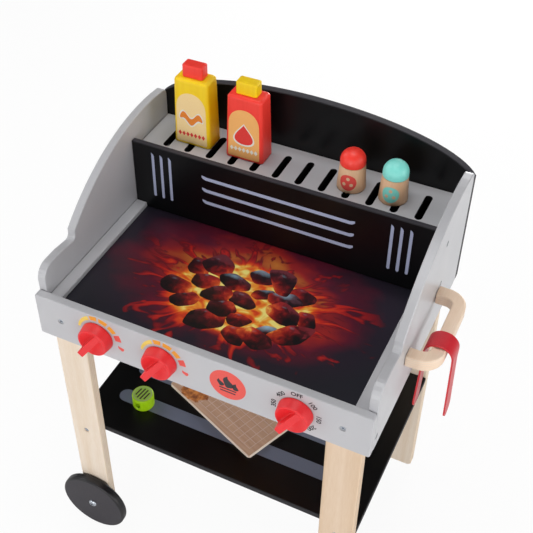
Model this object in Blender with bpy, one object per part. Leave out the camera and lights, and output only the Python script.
"""Toy barbecue grill: a painted wooden grill box on four birch legs, with its play accessories.

The box frame that the sizes are given in has X = 0 at the middle of the box, Y = 0 at the front
face of the front panel and Z = 0 on the floor. Every piece is then moved so that the part's own
origin is the middle of the bottom of its bounding box.
"""
import math

import bmesh
import bpy
from mathutils import Matrix, Vector

# Fits between pieces
SEAT = 0.0003            # gap between two pieces that touch
HOLE_PLAY = 0.0003       # radial play of a screw in its hole
OVERRUN = 0.004          # how far a cutter runs past the face that it opens
EDGE = 0.0008            # eased edge of a painted board
SOFT_EDGE = 0.0012       # eased edge of a plain wooden piece

# Grill box
BOX_WIDTH = 0.400
BOX_DEPTH = 0.301
BOX_LIFT = 0.367         # floor to the lower edge of the panels
PANEL = 0.010            # thickness of the grey and black panels
FRONT_HEIGHT = 0.060
FRONT_CORNER = 0.003

# Side panel profile
SWEEP_RADIUS = 0.262     # the long falling curve of the upper edge
SWEEP_CENTRE_INSET = 0.051  # from the back face of the box
SWEEP_CENTRE_Z = -0.095
REAR_ROUND = 0.009
NOTCH_Y = 0.0735         # where the sweep ends, over the notch
NOTCH_HEIGHT = 0.0875
NOTCH_ROUND = 0.006
SHOULDER_HEIGHT = 0.0905
SHOULDER_ROUND = 0.017
SHOULDER_FLAT_Y = 0.046  # where the shoulder starts to fall to the notch

# Back panel
ARCH_CROWN = 0.2004
ARCH_RISE = 0.060        # the arch is the upper part of an ellipse this high above its middle
ARCH_OVERHANG = 0.0035   # how far that ellipse would run past the side of the panel
ARCH_STEPS = 36

# Fire board, rails, vent panel and slotted shelf, heights from the lower edge of the box
FIRE_BOARD_TOP = 0.0447
FIRE_BOARD = 0.006
RAIL_WIDTH = 0.0148
RAIL = 0.0070
VENT = 0.0075
VENT_TOP = 0.1404
SHELF_TOP = 0.1267
SHELF = 0.008
SPICE_DEPTH = 0.0796     # front to back of the slotted shelf
SLOT_COUNT = 12
SLOT_SIDE_MARGIN = 0.0316  # side panel to the middle of the first slot
SLOT_END_MARGIN = 0.0168   # shelf edge to the end of a slot
SLOT_WIDTH = 0.0088

# Legs and lower shelf
LEG_WIDTH = 0.0412
LEG = 0.0130
FOOT_ROUND = 0.006
SHORT_LEG_BELOW_AXLE = 0.021
SHORT_LEG_ROUND = 0.018
LOWER_SHELF_DROP = 0.1726  # lower edge of the box to the top of the lower shelf
LOWER_SHELF = 0.0080

# Wheels
WHEEL_RADIUS = 0.0468
WHEEL = 0.0118
WHEEL_EDGE = 0.0025
WHEEL_BORE = 0.0034
WASHER = 0.0006
WASHER_RADIUS = 0.0075
AXLE_HEAD_RADIUS = 0.0058
AXLE_HEAD_TOP_RADIUS = 0.0035
AXLE_HEAD = 0.0026
AXLE_HEAD_RIM = 0.0012
AXLE_RADIUS = 0.0030
AXLE_IN_LEG = 0.0100
AXLE_SIDES = 20
WHEEL_SIDES = 40

# Screws
SCREW_HEAD_RADIUS = 0.0036
SCREW_HEAD = 0.0020
SCREW_HEAD_RIM = 0.0004   # short straight rim above the cone of the head
SCREW_RADIUS = 0.0017
SCREW_LENGTH = 0.0190
SCREW_POINT = 0.0020
SCREW_SUNK = 0.0002
SCREW_SIDES = 12
BOX_SCREW_RISE = 0.030      # screws through the front and back panels into the legs
SIDE_SCREW_RISE = 0.017     # screws through the side panels into the front legs
VENT_SCREW_RISES = (0.065, 0.124)

# Knobs
KNOB_INSETS = (0.080, 0.160, 0.082)  # from the left side, left side and right side of the box
KNOB_RISE = 0.0300
KNOB_RADIUS = 0.0200
KNOB_FRONT_RADIUS = 0.0178
KNOB_DEPTH = 0.0130
KNOB_EDGE = 0.0015
KNOB_GAP = 0.0004
KNOB_SIDES = 32
KNOB_TURN = math.radians(232)   # where the grips point at rest, from +X towards +Z
GRIP_WIDTH = 0.0078
GRIP_BACK = 0.0050              # how far the grip reaches past the knob's middle
GRIP_REACH = 0.0186
GRIP_HEIGHT = 0.0226
GRIP_RISE_START = 0.0025        # where its back starts to rise, behind the knob's middle
GRIP_NOSE = 0.0139              # height of the lower edge of its nose
GRIP_ROOT = 0.0075              # how deep it is rooted in the knob
GRIP_SOFT = 0.0007
GRIP_EDGE = 0.0014
SCOOP_RADIUS = 0.0120
SCOOP_DEPTH = 0.0035
SCOOP_ASIDE = 0.0108
SCOOP_ALONG = 0.0020
SPINDLE_RADIUS = 0.0024
SPINDLE_IN_KNOB = 0.0090
SPINDLE_HEAD_RADIUS = 0.0060
SPINDLE_HEAD_TOP_RADIUS = 0.0042
SPINDLE_HEAD = 0.0022
SPINDLE_HEAD_RIM = 0.0009

# Side handle
HANDLE_FORWARD = 0.00425   # middle of the handle in front of the middle of the box
HANDLE_LENGTH = 0.1165
HANDLE_REACH = 0.0360
HANDLE = 0.0150
HANDLE_TOP = 0.0650
HANDLE_OUTER_ROUND = 0.0240
HANDLE_INNER_ROUND = 0.0085
HANDLE_SCREW = 0.0240

# Tongs
TONGS_BACK = 0.0360          # front of the handle to the middle of the tongs
TONGS_INNER_RADIUS = 0.0145
TONGS = 0.0020
TONGS_BAND_WIDTH = 0.0230
TONGS_ARM_WIDTH = 0.0170
TONGS_TIP_WIDTH = 0.0100
TONGS_TIP_END_WIDTH = 0.0045
TONGS_TIP_ROUND = 0.0020    # length over which the tip rounds off
TONGS_ARM_STEPS = 7
TONGS_SPREAD = 0.0020
TONGS_TIP_DROP = 0.0420     # lower edge of the box to the tips
TONGS_NECK = 0.0120         # length over which the band narrows into an arm

# Bottles: each has its own heights and place
BOTTLE_WIDTH = 0.0485
BOTTLE_DEPTH = 0.0295
BOTTLE_TOP_WIDTH = 0.0445
BOTTLE_TOP_DEPTH = 0.0265
BOTTLE_SIDE_ROUND = 0.0045
BOTTLE_FOOT_EDGE = 0.0015
BOTTLE_SHOULDER = 0.0036
BOTTLE_BACK = 0.0317       # vent panel to the front of a bottle
CAP_WIDTH = 0.0265
CAP_DEPTH = 0.0150
CAP_ROUND = 0.0025
CAP_EDGE = 0.0012
MUSTARD_INSET = 0.0608     # left side panel to the middle of the bottle
MUSTARD_HEIGHT = 0.0890
MUSTARD_CAP = 0.0158
KETCHUP_INSET = 0.1298
KETCHUP_HEIGHT = 0.0850
KETCHUP_CAP = 0.0158

# Shakers
SHAKER_FOOT_RADIUS = 0.0167
SHAKER_NECK_RADIUS = 0.0147
SHAKER_BODY = 0.0320
SHAKER_DOME_RISE = 0.0040
SHAKER_EDGE = 0.0012
SHAKER_SIDES = 28
RED_SHAKER_INSET = 0.1186  # right side panel to the middle of the shaker
TURQUOISE_SHAKER_INSET = 0.0683
SHAKER_BACK = 0.0422       # vent panel to the middle of a shaker

# Play food and serving board on the lower shelf
SLICE_INSET = 0.0662       # left side of the lower shelf to the middle of the slice
SLICE_BACK = 0.0529        # front of the lower shelf to the middle of the slice
SLICE_RADIUS = 0.0140
SLICE_HEIGHT = 0.0187
SLICE_EDGE = 0.0012
SLICE_HOLE = 0.0036
SLICE_SIDES = 28
SERVING_INSET = 0.2263     # left side of the lower shelf to the board's nearest corner
SERVING_BACK = 0.0340      # front of the lower shelf to that corner
SERVING_LENGTH = 0.1560
SERVING_WIDTH = 0.1200
SERVING_BOARD = 0.0045
SERVING_ROUND = 0.0040
SERVING_TURN = math.radians(157.5)

# Places worked out from the sizes above
HALF_WIDTH = BOX_WIDTH / 2
INNER_HALF = HALF_WIDTH - PANEL
SIDE_FRONT = PANEL + SEAT
SIDE_BACK = BOX_DEPTH - PANEL - SEAT
FIRE_TOP_Z = BOX_LIFT + FIRE_BOARD_TOP
FIRE_BOTTOM_Z = FIRE_TOP_Z - FIRE_BOARD
VENT_BACK = SIDE_BACK - SPICE_DEPTH - SEAT
VENT_FRONT = VENT_BACK - VENT
SWEEP_CENTRE_Y = BOX_DEPTH - SWEEP_CENTRE_INSET
SLOT_PITCH = 2 * (INNER_HALF - SLOT_SIDE_MARGIN) / (SLOT_COUNT - 1)
SHELF_TOP_Z = BOX_LIFT + SHELF_TOP
LOWER_TOP_Z = BOX_LIFT - LOWER_SHELF_DROP
LOWER_MIDDLE_Z = LOWER_TOP_Z - LOWER_SHELF / 2
FRONT_LEG_Y = PANEL + SEAT
BACK_LEG_Y = BOX_DEPTH - PANEL - SEAT - LEG
LEG_MIDDLE_X = INNER_HALF - SEAT - LEG_WIDTH / 2
LOWER_SHELF_FRONT = FRONT_LEG_Y + LEG + SEAT
WHEEL_X = -LEG_MIDDLE_X
FRONT_WHEEL_BACK = FRONT_LEG_Y - SEAT - WASHER - SEAT
BACK_WHEEL_FRONT = BACK_LEG_Y + LEG + SEAT + WASHER + SEAT
HANDLE_FRONT = BOX_DEPTH / 2 - HANDLE_FORWARD - HANDLE_LENGTH / 2
HANDLE_BAR_X = HALF_WIDTH + HANDLE_REACH - HANDLE / 2
HANDLE_TOP_Z = BOX_LIFT + HANDLE_TOP
TONGS_MIDDLE_RADIUS = TONGS_INNER_RADIUS + TONGS / 2
TONGS_Y = HANDLE_FRONT + TONGS_BACK
KNOB_FACE_Y = -KNOB_GAP
KNOB_X = (KNOB_INSETS[0] - HALF_WIDTH, KNOB_INSETS[1] - HALF_WIDTH, HALF_WIDTH - KNOB_INSETS[2])
BOTTLE_FRONT_Y = VENT_BACK + BOTTLE_BACK
MUSTARD_X = MUSTARD_INSET - INNER_HALF
KETCHUP_X = KETCHUP_INSET - INNER_HALF
RED_SHAKER_X = INNER_HALF - RED_SHAKER_INSET
TURQUOISE_SHAKER_X = INNER_HALF - TURQUOISE_SHAKER_INSET
SHAKER_Y = VENT_BACK + SHAKER_BACK
SLICE_X = SLICE_INSET - INNER_HALF
SLICE_Y = LOWER_SHELF_FRONT + SLICE_BACK
SERVING_CORNER_X = SERVING_INSET - INNER_HALF
SERVING_CORNER_Y = LOWER_SHELF_FRONT + SERVING_BACK

# Bounding box, from the pieces that reach furthest each way
BOX_LEFT = WHEEL_X - WHEEL_RADIUS
BOX_RIGHT = HANDLE_BAR_X + TONGS_INNER_RADIUS + TONGS + TONGS_SPREAD
BOX_FRONT = -KNOB_GAP - GRIP_HEIGHT
BOX_REAR = BACK_WHEEL_FRONT + WHEEL + SEAT + AXLE_HEAD
ORIGIN = Vector(((BOX_LEFT + BOX_RIGHT) / 2, (BOX_FRONT + BOX_REAR) / 2, 0))

FORWARD = Vector((0, -1, 0))
BACKWARD = Vector((0, 1, 0))
LEFT = Vector((-1, 0, 0))
RIGHT = Vector((1, 0, 0))
UP = Vector((0, 0, 1))


def clear_scene():
    """Remove whatever the opened file holds."""
    for thing in list(bpy.data.objects):
        bpy.data.objects.remove(thing, do_unlink=True)


def paint(name, colour, roughness, metallic=0.0):
    """A Principled material with one plain colour."""
    material = bpy.data.materials.new(name)
    material.use_nodes = True
    shader = material.node_tree.nodes["Principled BSDF"]
    shader.inputs["Base Color"].default_value = (*colour, 1.0)
    shader.inputs["Roughness"].default_value = roughness
    shader.inputs["Metallic"].default_value = metallic
    return material


def finish_object(name, bm, at, material, smooth=False):
    """Turn a bmesh given in the box frame into an object whose origin is at the point `at`."""
    bmesh.ops.translate(bm, verts=bm.verts, vec=-Vector(at))
    bmesh.ops.recalc_face_normals(bm, faces=bm.faces)
    mesh = bpy.data.meshes.new(name)
    bm.to_mesh(mesh)
    bm.free()
    if smooth:
        mesh.shade_smooth()
        mesh.set_sharp_from_angle(angle=math.radians(35))
    thing = bpy.data.objects.new(name, mesh)
    thing.location = Vector(at) - ORIGIN
    if material is not None:
        mesh.materials.append(material)
    bpy.context.scene.collection.objects.link(thing)
    return thing


def arc(centre, radius, start, end, steps):
    """Points on a round stretch of an outline, angles in degrees."""
    points = []
    for i in range(steps + 1):
        angle = math.radians(start + (end - start) * i / steps)
        points.append((centre[0] + radius * math.cos(angle), centre[1] + radius * math.sin(angle)))
    return points


def rounded_rectangle(low, high, radii, steps=4):
    """Outline of a rectangle; radii are for low-low, high-low, high-high and low-high."""
    corners = [(low, (1, 1), 180), ((high[0], low[1]), (-1, 1), 270),
               (high, (-1, -1), 0), ((low[0], high[1]), (1, -1), 90)]
    outline = []
    for (corner, inward, start), radius in zip(corners, radii):
        if radius == 0:
            outline.append(corner)
            continue
        centre = (corner[0] + inward[0] * radius, corner[1] + inward[1] * radius)
        outline += arc(centre, radius, start, start + 90, steps)
    return outline


def prism(outline, axis, low, high):
    """Extrude a flat outline along X, Y or Z between two places; returns a bmesh."""
    order = {"X": (2, 0, 1), "Y": (0, 2, 1), "Z": (0, 1, 2)}[axis]
    bm = bmesh.new()
    rings = []
    for along in (low, high):
        ring = []
        for across, up in outline:
            values = (across, up, along)
            ring.append(bm.verts.new(tuple(values[i] for i in order)))
        rings.append(ring)
    bm.faces.new(rings[0])
    bm.faces.new(rings[1])
    count = len(outline)
    for i in range(count):
        j = (i + 1) % count
        bm.faces.new((rings[0][i], rings[0][j], rings[1][j], rings[1][i]))
    return bm


def ease_edges(thing, width, segments=1, sharper_than=50):
    """Round the edges of a piece that turn by more than an angle in degrees."""
    bevel = thing.modifiers.new("eased edges", "BEVEL")
    bevel.width = width
    bevel.segments = segments
    bevel.limit_method = "ANGLE"
    bevel.angle_limit = math.radians(sharper_than)


def board(name, outline, axis, low, high, at, material, edge=EDGE):
    """A flat board with eased edges."""
    thing = finish_object(name, prism(outline, axis, low, high), at, material)
    ease_edges(thing, edge)
    return thing


def turned(profile, sides):
    """Turn a profile of (radius, height) about Z; the ends on the axis close the shape."""
    bm = bmesh.new()
    rings = []
    for radius, height in profile:
        if radius == 0:
            rings.append([bm.verts.new((0, 0, height))])
            continue
        ring = []
        for i in range(sides):
            angle = 2 * math.pi * i / sides
            ring.append(bm.verts.new((radius * math.cos(angle), radius * math.sin(angle), height)))
        rings.append(ring)
    for lower, upper in zip(rings, rings[1:]):
        for i in range(sides):
            j = (i + 1) % sides
            corners = [lower[i % len(lower)], lower[j % len(lower)],
                       upper[j % len(upper)], upper[i % len(upper)]]
            face = list(dict.fromkeys(corners))
            if len(face) > 2:
                bm.faces.new(face)
    return bm


def turned_piece(name, profile, sides, at, direction, material):
    """A turned piece whose local Z points along a direction, with its origin at `at`."""
    thing = finish_object(name, turned(profile, sides), (0, 0, 0), material, smooth=True)
    thing.rotation_euler = UP.rotation_difference(direction).to_euler()
    thing.location = Vector(at) - ORIGIN
    return thing


def ring_mesh(inner, outer, height, sides):
    """A flat washer about Z."""
    bm = bmesh.new()
    loops = []
    for radius, level in ((inner, 0), (outer, 0), (outer, height), (inner, height)):
        loop = []
        for i in range(sides):
            angle = 2 * math.pi * i / sides
            loop.append(bm.verts.new((radius * math.cos(angle), radius * math.sin(angle), level)))
        loops.append(loop)
    for k in range(len(loops)):
        first, second = loops[k], loops[(k + 1) % len(loops)]
        for i in range(sides):
            j = (i + 1) % sides
            bm.faces.new((first[i], first[j], second[j], second[i]))
    return bm


def combine(thing, tool, operation):
    """Add or cut a helper shape with an exact Boolean."""
    change = thing.modifiers.new(tool.name, "BOOLEAN")
    change.operation = operation
    change.solver = "EXACT"
    change.object = tool
    tool.hide_render = True
    tool.display_type = "WIRE"


def drill(thing, label, at, direction, radius, depth, sides=SCREW_SIDES):
    """Cut a round hole that starts just outside the surface point `at`."""
    profile = [(0, -OVERRUN), (radius, -OVERRUN), (radius, depth), (0, depth)]
    cutter = turned_piece(thing.name + "_" + label, profile, sides, at, direction, None)
    combine(thing, cutter, "DIFFERENCE")


def screw_profile(top, play, length):
    """Countersunk screw from a place `top` on its axis to its point at +Z."""
    head = SCREW_HEAD_RADIUS + play
    shank = SCREW_RADIUS + play
    return [(0, top), (head, top), (head, SCREW_HEAD_RIM), (shank, SCREW_HEAD + play),
            (shank, length - SCREW_POINT), (0, length + play)]


def countersunk_screw(name, at, direction, pieces, length=SCREW_LENGTH):
    """A wood screw and its hole through the pieces that it joins."""
    start = Vector(at) + direction * SCREW_SUNK
    turned_piece(name, screw_profile(0, 0, length), SCREW_SIDES, start, direction, ZINC)
    hole = screw_profile(-OVERRUN, HOLE_PLAY, length)
    for piece in pieces:
        cutter = turned_piece(name + "_hole_in_" + piece.name, hole, SCREW_SIDES,
                              start, direction, None)
        combine(piece, cutter, "DIFFERENCE")


def make_front_panel():
    """Front panel, with round holes for the three knob spindles."""
    outline = rounded_rectangle((-HALF_WIDTH, BOX_LIFT), (HALF_WIDTH, BOX_LIFT + FRONT_HEIGHT),
                                [FRONT_CORNER] * 4)
    panel = board("front_panel", outline, "Y", 0, PANEL, (0, 0, BOX_LIFT), GREY_PAINT)
    for index, x in enumerate(KNOB_X):
        drill(panel, "spindle_hole_%d" % index, (x, 0, BOX_LIFT + KNOB_RISE), BACKWARD,
              SPINDLE_RADIUS + HOLE_PLAY, PANEL + OVERRUN, AXLE_SIDES)
    return panel


def side_profile():
    """Outline of a side panel in Y and Z above the lower edge of the box, front to back."""
    shoulder = (SIDE_FRONT + SHOULDER_ROUND, SHOULDER_HEIGHT - SHOULDER_ROUND)
    notch = (NOTCH_Y - NOTCH_ROUND, NOTCH_HEIGHT + NOTCH_ROUND)
    rear_y = SIDE_BACK - REAR_ROUND
    inner_radius = SWEEP_RADIUS - REAR_ROUND
    rear_z = SWEEP_CENTRE_Z + math.sqrt(inner_radius ** 2 - (rear_y - SWEEP_CENTRE_Y) ** 2)
    rear_angle = math.degrees(math.acos((rear_y - SWEEP_CENTRE_Y) / inner_radius))
    notch_angle = math.degrees(math.acos((NOTCH_Y - SWEEP_CENTRE_Y) / SWEEP_RADIUS))
    points = [(SIDE_FRONT, 0)]
    points += arc(shoulder, SHOULDER_ROUND, 180, 90, 6)
    points.append((SHOULDER_FLAT_Y, SHOULDER_HEIGHT))
    points += arc(notch, NOTCH_ROUND, -90, 0, 4)
    points += arc((SWEEP_CENTRE_Y, SWEEP_CENTRE_Z), SWEEP_RADIUS, notch_angle, rear_angle, 16)
    points += arc((rear_y, rear_z), REAR_ROUND, rear_angle, 0, 4)[1:]
    points.append((SIDE_BACK, 0))
    return [(y, BOX_LIFT + z) for y, z in points]


def make_side_panel(name, side):
    """Side panel; side is -1 for the left one and 1 for the right one."""
    inner, outer = side * INNER_HALF, side * HALF_WIDTH
    return board(name, side_profile(), "X", min(inner, outer), max(inner, outer),
                 (outer, SIDE_FRONT, BOX_LIFT), GREY_PAINT)


def make_back_panel():
    """Back panel with its arched top."""
    half_span = HALF_WIDTH + ARCH_OVERHANG
    centre_z = BOX_LIFT + ARCH_CROWN - ARCH_RISE
    last_angle = math.asin(HALF_WIDTH / half_span)
    outline = [(-HALF_WIDTH, BOX_LIFT), (HALF_WIDTH, BOX_LIFT)]
    for i in range(ARCH_STEPS + 1):
        angle = last_angle * (1 - 2 * i / ARCH_STEPS)
        outline.append((half_span * math.sin(angle), centre_z + ARCH_RISE * math.cos(angle)))
    return board("back_panel", outline, "Y", BOX_DEPTH - PANEL, BOX_DEPTH,
                 (0, BOX_DEPTH, BOX_LIFT), BLACK_PAINT)


def make_fire_board():
    """Printed cooking board, which rests on the tops of the legs."""
    half = INNER_HALF - SEAT
    outline = [(-half, SIDE_FRONT), (half, SIDE_FRONT), (half, SIDE_BACK), (-half, SIDE_BACK)]
    return board("fire_board", outline, "Z", FIRE_BOTTOM_Z, FIRE_TOP_Z,
                 (0, SIDE_FRONT, FIRE_BOTTOM_Z), EMBER_PRINT)


def make_rail(name, side):
    """Grey rail that holds one side of the cooking board down."""
    outer = side * (INNER_HALF - SEAT)
    inner = side * (INNER_HALF - SEAT - RAIL_WIDTH)
    low, high = min(inner, outer), max(inner, outer)
    back = VENT_FRONT - SEAT
    outline = [(low, SIDE_FRONT), (high, SIDE_FRONT), (high, back), (low, back)]
    bottom = FIRE_TOP_Z + SEAT
    return board(name, outline, "Z", bottom, bottom + RAIL, (inner, SIDE_FRONT, bottom), GREY_PAINT)


def make_vent_panel():
    """Upright black panel between the cooking board and the slotted shelf."""
    half = INNER_HALF - SEAT
    low, high = FIRE_TOP_Z + SEAT, BOX_LIFT + VENT_TOP
    outline = [(-half, low), (half, low), (half, high), (-half, high)]
    return board("vent_panel", outline, "Y", VENT_FRONT, VENT_BACK, (0, VENT_FRONT, low), BLACK_PAINT)


def slot_outline(x, middle_y):
    """Round-ended slot that runs from front to back."""
    radius = SLOT_WIDTH / 2
    straight = SPICE_DEPTH / 2 - SLOT_END_MARGIN - radius
    return (arc((x, middle_y - straight), radius, 180, 360, 6)
            + arc((x, middle_y + straight), radius, 0, 180, 6))


def make_spice_shelf():
    """Grey shelf with a row of round-ended slots."""
    half = INNER_HALF - SEAT
    front, back = SIDE_BACK - SPICE_DEPTH, SIDE_BACK
    outline = [(-half, front), (half, front), (half, back), (-half, back)]
    shelf = board("spice_shelf", outline, "Z", SHELF_TOP_Z - SHELF, SHELF_TOP_Z,
                  (0, front, SHELF_TOP_Z - SHELF), GREY_PAINT)
    middle_y = (front + back) / 2
    for index in range(SLOT_COUNT):
        x = (index - (SLOT_COUNT - 1) / 2) * SLOT_PITCH
        cutter = finish_object("slot_%02d" % index,
                               prism(slot_outline(x, middle_y), "Z",
                                     SHELF_TOP_Z - SHELF - OVERRUN, SHELF_TOP_Z + OVERRUN),
                               (x, middle_y, SHELF_TOP_Z), None)
        combine(shelf, cutter, "DIFFERENCE")
    return shelf


def make_leg(name, side, front_y, wheeled):
    """Birch leg; a wheeled one stops short and carries its axle."""
    middle = side * LEG_MIDDLE_X
    low = WHEEL_RADIUS - SHORT_LEG_BELOW_AXLE if wheeled else 0
    radius = SHORT_LEG_ROUND if wheeled else FOOT_ROUND
    top = FIRE_BOTTOM_Z - SEAT
    outline = rounded_rectangle((middle - LEG_WIDTH / 2, low), (middle + LEG_WIDTH / 2, top),
                                [radius, radius, 0, 0], 6)
    return board(name, outline, "Y", front_y, front_y + LEG, (middle, front_y, low), BIRCH, SOFT_EDGE)


def make_lower_shelf():
    """Black storage shelf between the legs."""
    half = INNER_HALF - SEAT
    front, back = LOWER_SHELF_FRONT, BACK_LEG_Y - SEAT
    outline = [(-half, front), (half, front), (half, back), (-half, back)]
    return board("lower_shelf", outline, "Z", LOWER_TOP_Z - LOWER_SHELF, LOWER_TOP_Z,
                 (0, front, LOWER_TOP_Z - LOWER_SHELF), BLACK_PAINT)


def make_wheel(name, near_y, direction):
    """Turned black wheel; direction points away from the leg."""
    profile = [(0, 0), (WHEEL_RADIUS - WHEEL_EDGE, 0)]
    profile += [(r, h) for r, h in arc((WHEEL_RADIUS - WHEEL_EDGE, WHEEL_EDGE), WHEEL_EDGE, -60, 0, 2)]
    profile += [(r, h) for r, h in
                arc((WHEEL_RADIUS - WHEEL_EDGE, WHEEL - WHEEL_EDGE), WHEEL_EDGE, 0, 90, 3)]
    profile.append((0, WHEEL))
    at = (WHEEL_X, near_y, WHEEL_RADIUS)
    wheel = turned_piece(name, profile, WHEEL_SIDES, at, direction, WHEEL_PAINT)
    drill(wheel, "bore", at, direction, WHEEL_BORE, WHEEL + OVERRUN, AXLE_SIDES)
    return wheel


def make_axle(name, leg, near_y, direction):
    """Pan-head axle screw through the wheel and its washer into the leg."""
    reach = SEAT + WHEEL + SEAT + WASHER + SEAT + AXLE_IN_LEG
    head_face = Vector((WHEEL_X, near_y, WHEEL_RADIUS)) + direction * (WHEEL + SEAT)
    profile = [(0, -AXLE_HEAD), (AXLE_HEAD_TOP_RADIUS, -AXLE_HEAD),
               (AXLE_HEAD_RADIUS, -AXLE_HEAD_RIM), (AXLE_HEAD_RADIUS, 0),
               (AXLE_RADIUS, 0), (AXLE_RADIUS, reach), (0, reach)]
    turned_piece(name, profile, AXLE_SIDES, head_face, -direction, ZINC)
    leg_face = Vector((WHEEL_X, near_y, WHEEL_RADIUS)) - direction * (SEAT + WASHER + SEAT)
    drill(leg, "axle_hole", leg_face, -direction, AXLE_RADIUS + HOLE_PLAY,
          AXLE_IN_LEG + SEAT + HOLE_PLAY, AXLE_SIDES)


def make_washer(name, near_y, direction):
    """Washer between the wheel and the leg."""
    at = Vector((WHEEL_X, near_y, WHEEL_RADIUS)) - direction * (SEAT + WASHER)
    bm = ring_mesh(AXLE_RADIUS + HOLE_PLAY, WASHER_RADIUS, WASHER, AXLE_SIDES)
    washer = finish_object(name, bm, (0, 0, 0), ZINC, smooth=True)
    washer.rotation_euler = UP.rotation_difference(direction).to_euler()
    washer.location = at - ORIGIN


def grip_shape(label, at):
    """Wedge-shaped grip of a knob: low near the middle, high where it points."""
    outline = [(-GRIP_BACK, GRIP_ROOT), (-GRIP_BACK, KNOB_DEPTH - SEAT),
               (-GRIP_RISE_START, KNOB_DEPTH + SEAT), (GRIP_REACH - GRIP_EDGE, GRIP_HEIGHT),
               (GRIP_REACH, GRIP_HEIGHT - GRIP_EDGE), (GRIP_REACH, GRIP_NOSE),
               (KNOB_FRONT_RADIUS - GRIP_EDGE, GRIP_ROOT)]
    bm = prism(outline, "Y", -GRIP_WIDTH / 2, GRIP_WIDTH / 2)
    bmesh.ops.rotate(bm, verts=bm.verts, matrix=Matrix.Rotation(KNOB_TURN, 3, "Z"))
    grip = finish_object(label, bm, (0, 0, 0), None)
    grip.rotation_euler = UP.rotation_difference(FORWARD).to_euler()
    grip.location = Vector(at) - ORIGIN
    ease_edges(grip, GRIP_SOFT, sharper_than=80)
    return grip


def make_knob(name, x, material):
    """Round plastic knob with a pointed grip, scooped on both sides for the fingers."""
    at = Vector((x, KNOB_FACE_Y, BOX_LIFT + KNOB_RISE))
    profile = [(0, 0), (KNOB_RADIUS, 0)]
    profile += arc((KNOB_FRONT_RADIUS - KNOB_EDGE, KNOB_DEPTH - KNOB_EDGE), KNOB_EDGE, 0, 90, 3)
    profile.append((0, KNOB_DEPTH))
    knob = turned_piece(name, profile, KNOB_SIDES, at, FORWARD, material)
    for index, side in enumerate((-1, 1)):
        turn = KNOB_TURN
        aside = Vector((-math.sin(turn), math.cos(turn), 0)) * side * SCOOP_ASIDE
        along = Vector((math.cos(turn), math.sin(turn), 0)) * SCOOP_ALONG
        local = along + aside + Vector((0, 0, KNOB_DEPTH + SCOOP_RADIUS - SCOOP_DEPTH))
        bm = bmesh.new()
        bmesh.ops.create_uvsphere(bm, u_segments=24, v_segments=16, radius=SCOOP_RADIUS)
        scoop = finish_object(name + "_scoop_%d" % index, bm, (0, 0, 0), None)
        scoop.location = at - ORIGIN + Vector((local.x, -local.z, local.y))
        combine(knob, scoop, "DIFFERENCE")
    combine(knob, grip_shape(name + "_grip", at), "UNION")
    drill(knob, "socket", at, FORWARD, SPINDLE_RADIUS + HOLE_PLAY, SPINDLE_IN_KNOB + HOLE_PLAY,
          AXLE_SIDES)
    return knob


def make_spindle(name, x):
    """Flanged screw from behind the panel that the knob turns with."""
    head_face = Vector((x, PANEL + SEAT, BOX_LIFT + KNOB_RISE))
    reach = SEAT + PANEL + KNOB_GAP + SPINDLE_IN_KNOB
    profile = [(0, -SPINDLE_HEAD), (SPINDLE_HEAD_TOP_RADIUS, -SPINDLE_HEAD),
               (SPINDLE_HEAD_RADIUS, -SPINDLE_HEAD_RIM), (SPINDLE_HEAD_RADIUS, 0),
               (SPINDLE_RADIUS, 0), (SPINDLE_RADIUS, reach), (0, reach)]
    turned_piece(name, profile, AXLE_SIDES, head_face, FORWARD, ZINC)


def make_handle():
    """Flat U of plywood on the right side panel."""
    near, far = HALF_WIDTH + SEAT, HALF_WIDTH + HANDLE_REACH
    front, back = HANDLE_FRONT, HANDLE_FRONT + HANDLE_LENGTH
    big, small = HANDLE_OUTER_ROUND, HANDLE_INNER_ROUND
    inner_far = far - HANDLE
    outline = [(near, front)]
    outline += arc((far - big, front + big), big, -90, 0, 8)
    outline += arc((far - big, back - big), big, 0, 90, 8)
    outline += [(near, back), (near, back - HANDLE)]
    outline += arc((inner_far - small, back - HANDLE - small), small, 90, 0, 5)
    outline += arc((inner_far - small, front + HANDLE + small), small, 0, -90, 5)
    outline.append((near, front + HANDLE))
    return board("side_handle", outline, "Z", HANDLE_TOP_Z - HANDLE, HANDLE_TOP_Z,
                 (near, front, HANDLE_TOP_Z - HANDLE), BIRCH, SOFT_EDGE)


def tongs_stations():
    """Middle line of the tongs in X and Z with the strip's width, inner tip to outer tip."""
    half_bar = HANDLE / 2
    rise = math.sqrt(TONGS_INNER_RADIUS ** 2 - half_bar ** 2)
    centre_z = HANDLE_TOP_Z - rise + SEAT
    tip_z = BOX_LIFT - TONGS_TIP_DROP
    fall = centre_z - tip_z
    arm = [(TONGS_MIDDLE_RADIUS + TONGS_SPREAD, tip_z, TONGS_TIP_END_WIDTH)]
    straight = fall - TONGS_TIP_ROUND - TONGS_NECK
    for i in range(TONGS_ARM_STEPS):
        share = 1 - i / TONGS_ARM_STEPS
        width = TONGS_ARM_WIDTH + (TONGS_TIP_WIDTH - TONGS_ARM_WIDTH) * share
        arm.append((TONGS_MIDDLE_RADIUS + TONGS_SPREAD * share,
                    centre_z - TONGS_NECK - straight * share, width))
    arm.append((TONGS_MIDDLE_RADIUS, centre_z - TONGS_NECK, TONGS_ARM_WIDTH))
    stations = [(HANDLE_BAR_X - out, z, width) for out, z, width in arm]
    for x, z in arc((HANDLE_BAR_X, centre_z), TONGS_MIDDLE_RADIUS, 180, 0, 14):
        stations.append((x, z, TONGS_BAND_WIDTH))
    stations += [(HANDLE_BAR_X + out, z, width) for out, z, width in reversed(arm)]
    return stations


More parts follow.
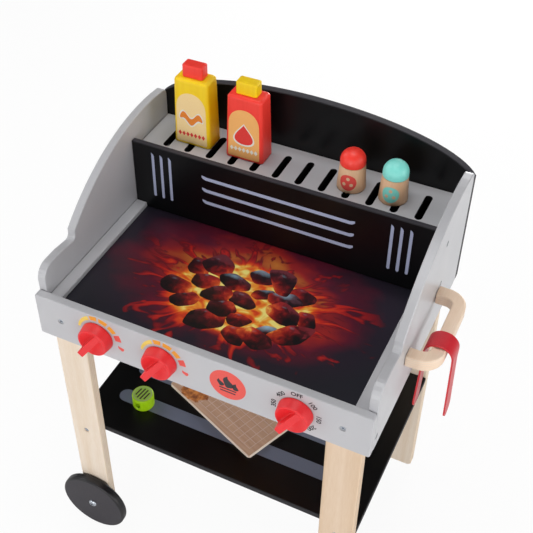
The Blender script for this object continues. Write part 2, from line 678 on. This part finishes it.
def make_tongs():
    """Springy plastic tongs: one strip, bent over, hung on the handle's bar."""
    stations = tongs_stations()
    bm = bmesh.new()
    rings = []
    for i, (x, z, width) in enumerate(stations):
        before, after = stations[max(i - 1, 0)], stations[min(i + 1, len(stations) - 1)]
        along = Vector((after[0] - before[0], 0, after[1] - before[1])).normalized()
        normal = Vector((-along.z, 0, along.x)) * (TONGS / 2)
        ring = []
        for sign, y in ((-1, -1), (1, -1), (1, 1), (-1, 1)):
            middle = Vector((x, TONGS_Y + y * width / 2, z))
            ring.append(bm.verts.new(middle + normal * sign))
        rings.append(ring)
    for first, second in zip(rings, rings[1:]):
        for k in range(4):
            m = (k + 1) % 4
            bm.faces.new((first[k], first[m], second[m], second[k]))
    bm.faces.new(rings[0])
    bm.faces.new(rings[-1])
    return finish_object("tongs", bm, (HANDLE_BAR_X, TONGS_Y, HANDLE_TOP_Z), RED_PLASTIC, smooth=True)


def closing_sections(half_width, half_depth, corner, height, edge, steps=3):
    """Sections that round a block over at its top."""
    sections = []
    for i in range(steps + 1):
        angle = math.pi / 2 * i / steps
        inset = edge * (1 - math.cos(angle))
        level = height - edge * (1 - math.sin(angle))
        sections.append((half_width - inset, half_depth - inset, corner - inset, level))
    return sections


def stacked(sections, x, y, low):
    """Close a stack of rounded rectangles: half width, half depth, corner radius and level."""
    bm = bmesh.new()
    rings = []
    for half_width, half_depth, corner, level in sections:
        outline = rounded_rectangle((x - half_width, y - half_depth), (x + half_width, y + half_depth),
                                    [corner] * 4, 3)
        rings.append([bm.verts.new((px, py, low + level)) for px, py in outline])
    bm.faces.new(rings[0])
    bm.faces.new(rings[-1])
    for lower, upper in zip(rings, rings[1:]):
        for i in range(len(lower)):
            j = (i + 1) % len(lower)
            bm.faces.new((lower[i], lower[j], upper[j], upper[i]))
    return bm


def make_bottle(name, x, height, cap_name, cap_height, paint_body, paint_cap):
    """Tapered wooden bottle with its cap block."""
    y = BOTTLE_FRONT_Y + BOTTLE_DEPTH / 2
    low = SHELF_TOP_Z + SEAT
    foot = BOTTLE_FOOT_EDGE
    sections = [(BOTTLE_WIDTH / 2 - foot, BOTTLE_DEPTH / 2 - foot, BOTTLE_SIDE_ROUND - foot, 0),
                (BOTTLE_WIDTH / 2, BOTTLE_DEPTH / 2, BOTTLE_SIDE_ROUND, foot)]
    sections += closing_sections(BOTTLE_TOP_WIDTH / 2, BOTTLE_TOP_DEPTH / 2, BOTTLE_SIDE_ROUND,
                                 height, BOTTLE_SHOULDER)
    finish_object(name, stacked(sections, x, y, low), (x, y, low), paint_body, smooth=True)
    half_width, half_depth = CAP_WIDTH / 2, CAP_DEPTH / 2
    sections = [(half_width, half_depth, CAP_ROUND, 0)]
    sections += closing_sections(half_width, half_depth, CAP_ROUND, cap_height, CAP_EDGE)
    cap_low = low + height + SEAT
    finish_object(cap_name, stacked(sections, x, y, cap_low), (x, y, cap_low), paint_cap, smooth=True)


def make_shaker(name, x, dome_name, paint_dome):
    """Turned shaker: a tapered wooden body under a painted dome."""
    low = SHELF_TOP_Z + SEAT
    body = [(0, 0), (SHAKER_FOOT_RADIUS - SHAKER_EDGE, 0), (SHAKER_FOOT_RADIUS, SHAKER_EDGE),
            (SHAKER_NECK_RADIUS, SHAKER_BODY), (0, SHAKER_BODY)]
    turned_piece(name, body, SHAKER_SIDES, (x, SHAKER_Y, low), UP, BEECH)
    base = SHAKER_BODY + SEAT
    dome = [(0, base), (SHAKER_NECK_RADIUS, base)]
    dome += arc((0, base + SHAKER_DOME_RISE), SHAKER_NECK_RADIUS, 0, 80, 8)
    dome.append((0, base + SHAKER_DOME_RISE + SHAKER_NECK_RADIUS))
    turned_piece(dome_name, dome, SHAKER_SIDES, (x, SHAKER_Y, low), UP, paint_dome)


def make_slice():
    """Slice of play food with a cross hole for a skewer."""
    low = LOWER_TOP_Z + SEAT
    profile = [(0, 0), (SLICE_RADIUS - SLICE_EDGE, 0), (SLICE_RADIUS, SLICE_EDGE),
               (SLICE_RADIUS, SLICE_HEIGHT - SLICE_EDGE), (SLICE_RADIUS - SLICE_EDGE, SLICE_HEIGHT),
               (0, SLICE_HEIGHT)]
    piece = turned_piece("food_slice", profile, SLICE_SIDES, (SLICE_X, SLICE_Y, low), UP, GREEN_PAINT)
    drill(piece, "skewer_hole", (SLICE_X, SLICE_Y - SLICE_RADIUS, low + SLICE_HEIGHT / 2), BACKWARD,
          SLICE_HOLE, 2 * SLICE_RADIUS + OVERRUN, AXLE_SIDES)


def make_serving_board():
    """Thin board that lies askew on the lower shelf."""
    low = LOWER_TOP_Z + SEAT
    outline = rounded_rectangle((0, -SERVING_WIDTH), (SERVING_LENGTH, 0), [SERVING_ROUND] * 4)
    bm = prism(outline, "Z", 0, SERVING_BOARD)
    thing = finish_object("serving_board", bm, (0, 0, 0), PRINTED_WOOD)
    thing.rotation_euler = (0, 0, SERVING_TURN)
    thing.location = Vector((SERVING_CORNER_X, SERVING_CORNER_Y, low)) - ORIGIN
    ease_edges(thing, EDGE)


clear_scene()
GREY_PAINT = paint("grey lacquered MDF", (0.52, 0.52, 0.54), 0.45)
BLACK_PAINT = paint("black lacquered MDF", (0.006, 0.006, 0.008), 0.3)
EMBER_PRINT = paint("printed hardboard", (0.03, 0.012, 0.012), 0.35)
BIRCH = paint("birch plywood", (0.72, 0.58, 0.44), 0.55)
BEECH = paint("beech", (0.60, 0.38, 0.24), 0.5)
WHEEL_PAINT = paint("black painted wheel", (0.03, 0.028, 0.033), 0.5)
ZINC = paint("zinc-plated steel", (0.62, 0.62, 0.64), 0.35, 1.0)
RED_PLASTIC = paint("red ABS", (0.78, 0.03, 0.03), 0.35)
YELLOW_PAINT = paint("yellow paint", (0.93, 0.60, 0.01), 0.4)
RED_PAINT = paint("red paint", (0.79, 0.05, 0.04), 0.4)
TURQUOISE_PAINT = paint("turquoise paint", (0.16, 0.70, 0.62), 0.4)
GREEN_PAINT = paint("green paint", (0.30, 0.60, 0.01), 0.45)
PRINTED_WOOD = paint("printed plywood", (0.42, 0.27, 0.17), 0.6)

front_panel = make_front_panel()
left_side = make_side_panel("left_side_panel", -1)
right_side = make_side_panel("right_side_panel", 1)
back_panel = make_back_panel()
make_fire_board()
make_rail("left_rail", -1)
make_rail("right_rail", 1)
vent_panel = make_vent_panel()
make_spice_shelf()
lower_shelf = make_lower_shelf()
handle = make_handle()

legs = {}
for leg_name, leg_side, leg_y, has_wheel in (("front_left_leg", -1, FRONT_LEG_Y, True),
                                             ("front_right_leg", 1, FRONT_LEG_Y, False),
                                             ("back_left_leg", -1, BACK_LEG_Y, True),
                                             ("back_right_leg", 1, BACK_LEG_Y, False)):
    legs[leg_name] = make_leg(leg_name, leg_side, leg_y, has_wheel)

for wheel_name, leg_name, wheel_y, outward in (
        ("front", "front_left_leg", FRONT_WHEEL_BACK, FORWARD),
        ("back", "back_left_leg", BACK_WHEEL_FRONT, BACKWARD)):
    make_wheel(wheel_name + "_wheel", wheel_y, outward)
    make_washer(wheel_name + "_washer", wheel_y, outward)
    make_axle(wheel_name + "_axle_screw", legs[leg_name], wheel_y, outward)

for knob_name, knob_x in zip(("left", "middle", "right"), KNOB_X):
    make_knob(knob_name + "_knob", knob_x, RED_PLASTIC)
    make_spindle(knob_name + "_spindle", knob_x)

for word, side, side_panel, direction in (("left", -1, left_side, RIGHT), ("right", 1, right_side, LEFT)):
    front_leg, back_leg = legs["front_%s_leg" % word], legs["back_%s_leg" % word]
    leg_x, face_x = side * LEG_MIDDLE_X, side * HALF_WIDTH
    countersunk_screw("front_screw_" + word, (leg_x, 0, BOX_LIFT + BOX_SCREW_RISE), BACKWARD,
                      [front_panel, front_leg])
    countersunk_screw("back_screw_" + word, (leg_x, BOX_DEPTH, BOX_LIFT + BOX_SCREW_RISE), FORWARD,
                      [back_panel, back_leg])
    countersunk_screw("front_shelf_screw_" + word, (leg_x, FRONT_LEG_Y, LOWER_MIDDLE_Z), BACKWARD,
                      [front_leg, lower_shelf])
    countersunk_screw("back_shelf_screw_" + word, (leg_x, BACK_LEG_Y + LEG, LOWER_MIDDLE_Z), FORWARD,
                      [back_leg, lower_shelf])
    countersunk_screw("side_leg_screw_" + word,
                      (face_x, FRONT_LEG_Y + LEG / 2, BOX_LIFT + SIDE_SCREW_RISE), direction,
                      [side_panel, front_leg])
    for level, rise in zip(("lower", "upper"), VENT_SCREW_RISES):
        countersunk_screw("%s_vent_screw_%s" % (level, word),
                          (face_x, VENT_FRONT + VENT / 2, BOX_LIFT + rise), direction,
                          [side_panel, vent_panel])

for word, handle_y in (("front", HANDLE_FRONT + HANDLE / 2),
                       ("back", HANDLE_FRONT + HANDLE_LENGTH - HANDLE / 2)):
    countersunk_screw("handle_screw_" + word, (INNER_HALF, handle_y, HANDLE_TOP_Z - HANDLE / 2), RIGHT,
                      [right_side, handle], HANDLE_SCREW)

make_tongs()
make_bottle("mustard_bottle", MUSTARD_X, MUSTARD_HEIGHT, "mustard_cap", MUSTARD_CAP,
            YELLOW_PAINT, RED_PAINT)
make_bottle("ketchup_bottle", KETCHUP_X, KETCHUP_HEIGHT, "ketchup_cap", KETCHUP_CAP,
            RED_PAINT, YELLOW_PAINT)
make_shaker("red_shaker", RED_SHAKER_X, "red_dome", RED_PAINT)
make_shaker("turquoise_shaker", TURQUOISE_SHAKER_X, "turquoise_dome", TURQUOISE_PAINT)
make_slice()
make_serving_board()
